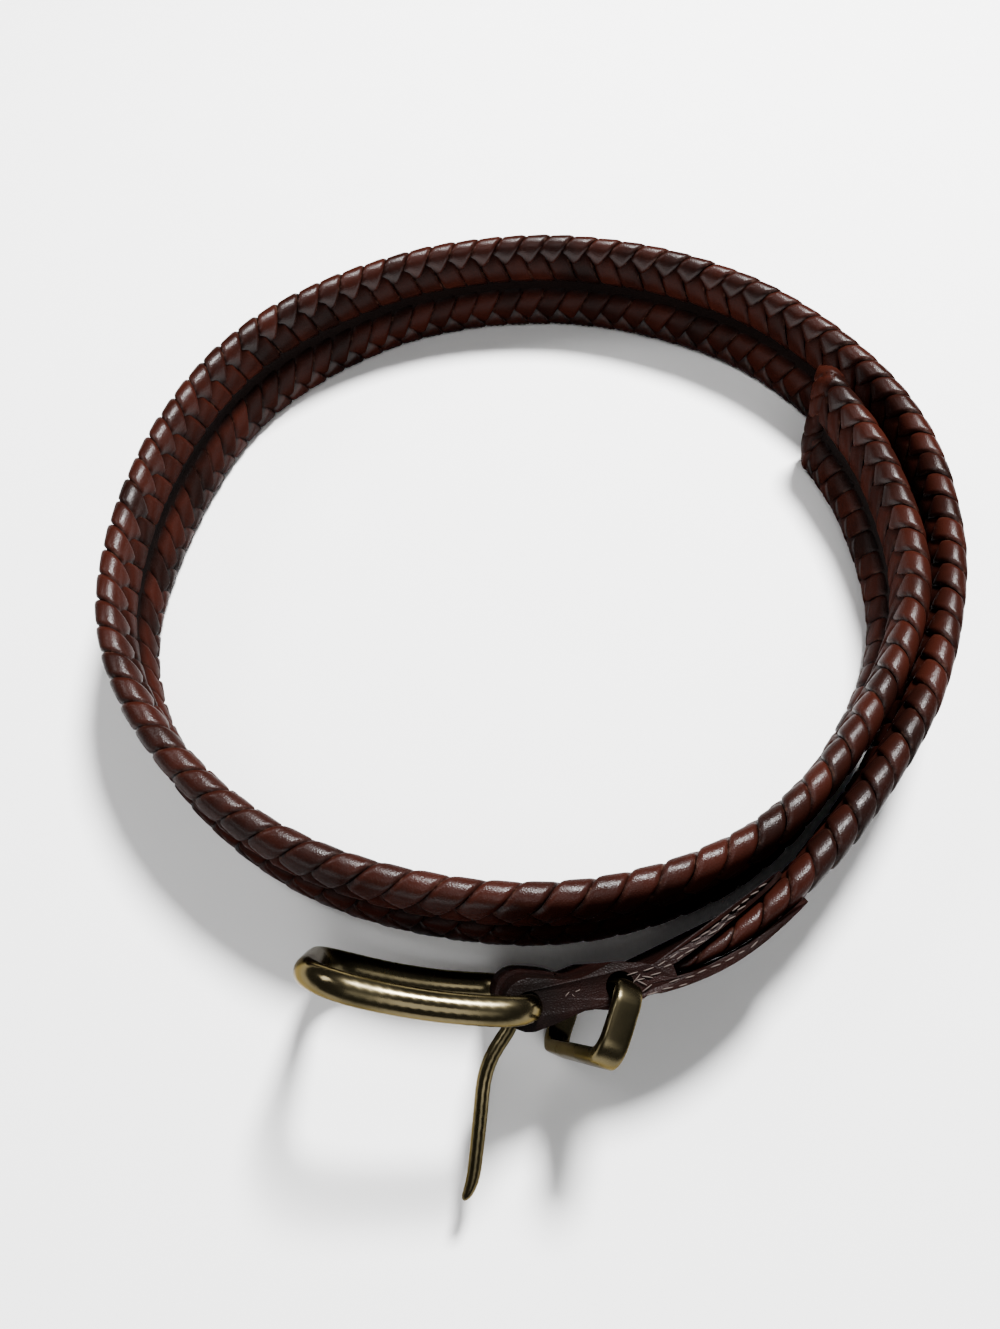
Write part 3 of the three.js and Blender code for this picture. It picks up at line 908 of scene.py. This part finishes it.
def braid_end():
    """Strands folded over the free end, from one face round the tip to the other."""
    deselect_all()
    bpy.ops.mesh.primitive_grid_add(x_subdivisions=STRAND_ACROSS, y_subdivisions=FOLD_ROWS, size=2)
    strand = name_active("braid_end")
    co = points(strand)
    number = np.repeat(np.arange(FOLD_STRANDS), len(co))
    side = np.tile(np.sign(co[:, 0]) * np.abs(co[:, 0]) ** FOLD_CROWDING, FOLD_STRANDS)
    way = np.tile(co[:, 1] * (FOLD_HALF_TIP + FOLD_REACH), FOLD_STRANDS)
    edit(strand, close_open_edges)
    add_modifier(strand, "Repeat", "ARRAY", count=FOLD_STRANDS, use_relative_offset=False,
                 use_constant_offset=True, constant_offset_displace=(0, 0, FOLD_SPACING * MM))
    from_tip = np.maximum(np.abs(way) - FOLD_HALF_TIP, 0)
    down = (FOLD_FIRST + number * FOLD_SPACING + side * FOLD_SPACING * FOLD_HALF_WIDTH
            - FOLD_SLOPE * from_tip)
    down = np.minimum(down, SECTION.girth / 2 - FOLD_MARGIN)
    dip = smooth(from_tip, FOLD_REACH - FOLD_SINK_RUN, FOLD_REACH) * FOLD_SINK
    proud = FOLD_CROWN - FOLD_RELIEF * np.abs(side) ** FOLD_ROUNDING_POWER - dip
    face = np.where(way >= 0, 1, -1)
    co = SECTION.wrap(np.column_stack([LIE.length - from_tip, face * down, proud]))
    on_tip = from_tip <= 0
    rise = FOLD_TIP_RISE * (2 - (way / FOLD_HALF_TIP) ** 2)
    co[:, 0] += np.where(on_tip, proud * FOLD_TIP_SHARE + rise, 0)
    co[:, 1] *= np.where(on_tip, np.abs(way) / FOLD_HALF_TIP, 1)
    set_points(strand, LIE.place(co) * MM)
    set_attribute(strand, "strand_edge", np.abs(side))
    set_attribute(strand, "strand_tone", np.random.RandomState(FOLD_SEED).rand(FOLD_STRANDS)[number])
    # Painted shade where the folded strands sink at their ends
    set_attribute(strand, "painted_shade", np.clip(dip, 0, 1))
    edit(strand, turn_faces_out)
    return strand


def braid_core():
    """Core under the strands, its near-black colour painted shade."""
    deselect_all()
    bpy.ops.mesh.primitive_grid_add(x_subdivisions=CORE_ALONG, y_subdivisions=CORE_ROUND, size=2)
    core = name_active("braid_core")
    co = points(core)
    along = STRAP_START + (co[:, 0] + 1) / 2 * (LIE.length - STRAP_START - CORE_SHORT)
    way = (co[:, 1] + 1) / 2 * SECTION.girth
    flat = np.column_stack([along, way, np.full(len(co), -CORE_DEPTH)])
    set_points(core, LIE.place(SECTION.wrap(flat)) * MM)
    edit(core, merge_close, close_open_edges, turn_faces_out)
    return core


class BELT_OT_braid(bpy.types.Operator):
    """Makes the braid: its core and the strands of its edges and faces"""
    bl_idname = "belt.braid"
    bl_label = "Braid"

    def execute(self, context):
        leathers = {"edges": braid_leather("Braided leather of the edges", EDGE_GLOSS),
                    "faces": braid_leather("Braided leather of the faces", FACE_GLOSS)}
        core = braid_core()
        shade(core, CORE_SMOOTH)
        finish(core, "belt", ["strap"], core_leather())
        end = braid_end()
        shade(end, STRAND_SMOOTH)
        finish(end, "belt", ["strap"], leathers["faces"])
        for label, columns, leather in BRAID_PIECES:
            piece = join([braid_column(*column) for column in columns], label)
            shade(piece, STRAND_SMOOTH)
            finish(piece, "belt", ["strap"], leathers[leather])
        return {"FINISHED"}


def smooth_copy(name, source, levels, angle):
    """A merged and rounded copy of a solid, without the solid's own marks."""
    deselect_all()
    solid = frame["nodes"][source]
    copy = solid.copy()
    copy.data = solid.data.copy()
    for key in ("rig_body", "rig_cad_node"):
        if key in copy:
            del copy[key]
    copy.parent = None
    copy.name = name
    copy.data.name = name
    bpy.context.collection.objects.link(copy)
    edit(copy, merge_close)
    if levels:
        add_modifier(copy, "Round", "SUBSURF", levels=levels, render_levels=levels)
    shade(copy, angle)
    return copy


# Leather end, in millimetres: pressed flatter where it holds the strap, with rounded edges
PRESS_FROM = 38
PRESS_TO = 58
PRESS_SHARE = 0.13
EDGE_ROUNDING = 0.35
EDGE_SEGMENTS = 2
EDGE_ANGLE = 40

# Its height grows from the bar to the strap, and its far corners are rounded
HEIGHT_AT_BAR = 24
HEIGHT_GAIN = 2.5
GAIN_FROM = 8
GAIN_TO = 24
CORNER_FROM = 52
CORNER_RUN = 6
CORNER_SHARE = 0.14


class BELT_OT_leather_end(bpy.types.Operator):
    """Makes the plain leather end that holds the buckle"""
    bl_idname = "belt.leather_end"
    bl_label = "Leather end"

    def execute(self, context):
        piece = smooth_copy("leather_end", "chape", 0, LEATHER_SMOOTH)
        flat = LIE.unplace(points(piece) / MM)
        flat[:, 1] *= 1 - PRESS_SHARE * smooth(flat[:, 0], PRESS_FROM, PRESS_TO)
        set_points(piece, LIE.place(flat) * MM)
        add_modifier(piece, "Edges", "BEVEL", width=EDGE_ROUNDING * MM, segments=EDGE_SEGMENTS,
                     limit_method="ANGLE", angle_limit=math.radians(EDGE_ANGLE))
        shade(piece, LEATHER_SMOOTH)
        finish(piece, "belt", ["chape"], plain_leather())
        return {"FINISHED"}


def chape_height(distance):
    """Height of the leather end at a distance from the bar, in millimetres."""
    grown = HEIGHT_AT_BAR + HEIGHT_GAIN * smooth(distance, GAIN_FROM, GAIN_TO)
    rounding = np.clip((distance - CORNER_FROM) / CORNER_RUN, 0, 1)
    return grown * (1 - CORNER_SHARE * rounding ** 2)


# Stitches: how they thin and sink at their ends, stand proud and stray, in millimetres and degrees
STITCH_SIDES = 8
STITCH_CUTS = 2
STITCH_THINNING = 0.75
STITCH_SINK = 0.45
STITCH_PROUD = 0.08
STITCH_SEED = 31
STRAY_STEP = 0.7
STRAY_THROUGH = 0.25
STRAY_TURN = 24
STRAY_SINK = 0.12

# Copies of the one stitch are made this far apart, then each is laid in its place
COPY_SPACING = 10.0

# Side, share of the layer from its inner face, first and last distance of each stitch row
STITCH_ROWS = ((1, 0.3, 21, 47), (1, 0.75, 20, 55), (-1, 0.35, 27, 45), (-1, 0.8, 20, 30))
STITCH_STEP = 2.7

# Loose thread ends and the cross stitches beside the keeper: distance, through, turn in degrees
THREAD_ENDS = ((20.4, 1.2, 35), (21.2, 0.2, -40), (21.9, -0.9, 20), (22.4, 0.9, -25), (19.6, -1.3, 10),
               (18.9, -2.2, -15), (7.4, 0.9, 40), (8.6, 0.4, -45), (9.4, 1.2, 15))

# A leather layer at a distance from the bar: how far its inner and its outer face lie from the
# strap's middle
LAYER_FACES = ((20, 0.2, 2.9), (24, 0.2, 2.6), (29, 1.2, 3.2), (36, 2.15, 3.8), (45, 2.8, 4.2),
               (58, 3.3, 4.5))


def stitch(name):
    """One stitch along x, thinner and sunk at both ends."""
    length, thickness = sizes().stitch_length, sizes().thread
    deselect_all()
    bpy.ops.mesh.primitive_cylinder_add(vertices=STITCH_SIDES, radius=thickness / 2, depth=length,
                                        end_fill_type="TRIFAN")
    made = name_active(name)
    edit(made, lambda: bpy.ops.mesh.select_all(action="SELECT"),
         lambda: bpy.ops.mesh.subdivide(number_cuts=STITCH_CUTS))
    co = points(made)
    along = co[:, 2].copy()
    share = np.abs(along) / (length / 2)
    width = np.sqrt(np.clip(1 - share ** 4 * STITCH_THINNING, 0, 1))
    up = co[:, 1] * width - share ** 2 * thickness * STITCH_SINK
    set_points(made, np.column_stack([along, co[:, 0] * width, up]))
    return made


def layer_place(distance, side, share):
    """Through-place in one leather layer of the end: share 0 at its inner face, 1 at its outer."""
    rows = np.array(LAYER_FACES)
    inner = np.interp(distance, rows[:, 0], rows[:, 1])
    outer = np.interp(distance, rows[:, 0], rows[:, 2])
    return side * (inner + (outer - inner) * share)


def lay_stitches(x, y, turn, sink):
    """Copies of one stitch laid on the top and bottom edges of the leather end."""
    count = len(x)
    single = stitch("stitch")
    each = len(single.data.vertices)
    add_modifier(single, "Repeat", "ARRAY", count=count, use_relative_offset=False,
                 use_constant_offset=True, constant_offset_displace=(0, 0, COPY_SPACING * MM))
    number = np.repeat(np.arange(count), each)
    co = points(single) / MM - np.array([0, 0, COPY_SPACING]) * number[:, None]
    turn = np.radians(turn)[number]
    along = x[number] + co[:, 0] * np.cos(turn) - co[:, 1] * np.sin(turn)
    through = y[number] + co[:, 0] * np.sin(turn) + co[:, 1] * np.cos(turn)
    up = chape_height(along) / 2 + co[:, 2] + STITCH_PROUD - sink[number]
    other = single.copy()
    other.data = single.data.copy()
    bpy.context.collection.objects.link(other)
    set_points(single, LIE.place(np.column_stack([along, through, up])) * MM)
    set_points(other, LIE.place(np.column_stack([along, through, -up])) * MM)
    return [single, other]


class BELT_OT_stitches(bpy.types.Operator):
    """Sews the leather end along its upper and lower edges"""
    bl_idname = "belt.stitches"
    bl_label = "Stitches"

    def execute(self, context):
        rng = np.random.RandomState(STITCH_SEED)
        made = []
        for side, share, first, last in STITCH_ROWS:
            x = np.arange(first, last, STITCH_STEP)
            x = x + (rng.rand(len(x)) - 0.5) * STRAY_STEP
            y = layer_place(x, side, share) + (rng.rand(len(x)) - 0.5) * STRAY_THROUGH
            turn = (rng.rand(len(x)) - 0.5) * STRAY_TURN
            made += lay_stitches(x, y, turn, rng.rand(len(x)) * STRAY_SINK)
        x, y, turn = np.array(THREAD_ENDS, float).T
        made += lay_stitches(x, y, turn, np.zeros(len(x)))
        piece = join(made, "leather_end_stitches")
        edit(piece, turn_faces_out)
        shade(piece, THREAD_SMOOTH)
        finish(piece, "belt", [], stitch_thread())
        return {"FINISHED"}


# Piece, its solid, body, material slot, and how much more of it is dark
BRASS_PIECES = (
    ("ring_polished", "buckle_frame", "ring", "ring_brass", 0.0),
    ("prong_polished", "prong", "tongue", "prong_brass", 0.06),
    ("keeper_polished", "keeper", "loop", "keeper_brass", 0.0),
)


class BELT_OT_buckle(bpy.types.Operator):
    """Makes the brass ring, its prong and the keeper"""
    bl_idname = "belt.buckle"
    bl_label = "Buckle"

    def execute(self, context):
        for name, source, body, slot, darkness in BRASS_PIECES:
            piece = smooth_copy(name, source, 1, BRASS_SMOOTH)
            finish(piece, body, [source], antique_brass(slot.replace("_", " "), darkness))
        return {"FINISHED"}


# Camera: place from the coil's axis in millimetres, how far down it looks in degrees, lens and
# sensor in millimetres, and the nearest distance it sees in metres
CAMERA_BEHIND = (-10.0, -150.0, 203.0)
CAMERA_DOWN = 59.3
CAMERA_LENS = 24.38
CAMERA_SENSOR = 36
CAMERA_NEAR = 0.005

# Lights: name, place and aim in metres, power in watts, width in metres
LIGHTS = (
    ("key", (0.22, 0.5, 0.9), (0, 0, 0), 62, 0.24),
    ("left", (-0.8, 0.3, 0.9), (0, 0, 0.01), 6, 0.4),
    ("front", (0.1, -0.8, 1.2), (0, 0, 0.01), 7, 0.8),
)
SKY_COLOUR = (1, 1, 1, 1)
SKY_STRENGTH = 0.16
FLOOR_SIZE = 6


def area_light(name, place, aim, power, size):
    data = bpy.data.lights.new(name, "AREA")
    data.shape = "DISK"
    data.size = size
    data.energy = power
    lamp = bpy.data.objects.new(name, data)
    lamp.location = place
    lamp.rotation_euler = (Vector(aim) - Vector(place)).to_track_quat("-Z", "Y").to_euler()
    bpy.context.collection.objects.link(lamp)


class BELT_OT_stage(bpy.types.Operator):
    """Sets the floor, the lights and the camera"""
    bl_idname = "belt.stage"
    bl_label = "Stage"

    def execute(self, context):
        deselect_all()
        bpy.ops.mesh.primitive_plane_add(size=FLOOR_SIZE, location=(0, 0, 0))
        floor = name_active("floor")
        floor.data.materials.append(pale_floor())
        data = bpy.data.cameras.new("camera")
        data.sensor_width = CAMERA_SENSOR
        data.lens = CAMERA_LENS
        data.clip_start = CAMERA_NEAR
        camera = bpy.data.objects.new("camera", data)
        camera.location = (np.append(LIE.axis, 0) + CAMERA_BEHIND) * MM
        camera.rotation_euler = (math.radians(90 - CAMERA_DOWN), 0, 0)
        bpy.context.collection.objects.link(camera)
        bpy.context.scene.camera = camera
        for light in LIGHTS:
            area_light(*light)
        world = bpy.context.scene.world or bpy.data.worlds.new("World")
        bpy.context.scene.world = world
        world.use_nodes = True
        back = world.node_tree.nodes["Background"]
        back.inputs["Color"].default_value = SKY_COLOUR
        back.inputs["Strength"].default_value = SKY_STRENGTH
        return {"FINISHED"}


class BELT_PT_panel(bpy.types.Panel):
    """Shows the belt's sizes and colours, and a button for each of its operators"""
    bl_idname = "BELT_PT_panel"
    bl_label = "Braided belt"
    bl_space_type = "VIEW_3D"
    bl_region_type = "UI"
    bl_category = "Braided belt"

    def draw(self, context):
        for group in (context.scene.belt_sizes, context.scene.belt_colours):
            for key in group.bl_rna.properties.keys():
                if key not in ("rna_type", "name"):
                    self.layout.prop(group, key)
        for operator in OPERATORS:
            self.layout.operator(operator.bl_idname)


OPERATORS = (BELT_OT_stage, BELT_OT_braid, BELT_OT_leather_end, BELT_OT_stitches, BELT_OT_buckle)
CLASSES = (BeltSizes, BeltColours, *OPERATORS, BELT_PT_panel)


def register():
    for cls in CLASSES:
        bpy.utils.register_class(cls)
    bpy.types.Scene.belt_sizes = bpy.props.PointerProperty(type=BeltSizes)
    bpy.types.Scene.belt_colours = bpy.props.PointerProperty(type=BeltColours)


def unregister():
    del bpy.types.Scene.belt_sizes
    del bpy.types.Scene.belt_colours
    for cls in reversed(CLASSES):
        bpy.utils.unregister_class(cls)


def main():
    register()
    bpy.ops.belt.stage()
    bpy.ops.belt.braid()
    bpy.ops.belt.leather_end()
    bpy.ops.belt.stitches()
    bpy.ops.belt.buckle()


if __name__ == "__main__":
    main()
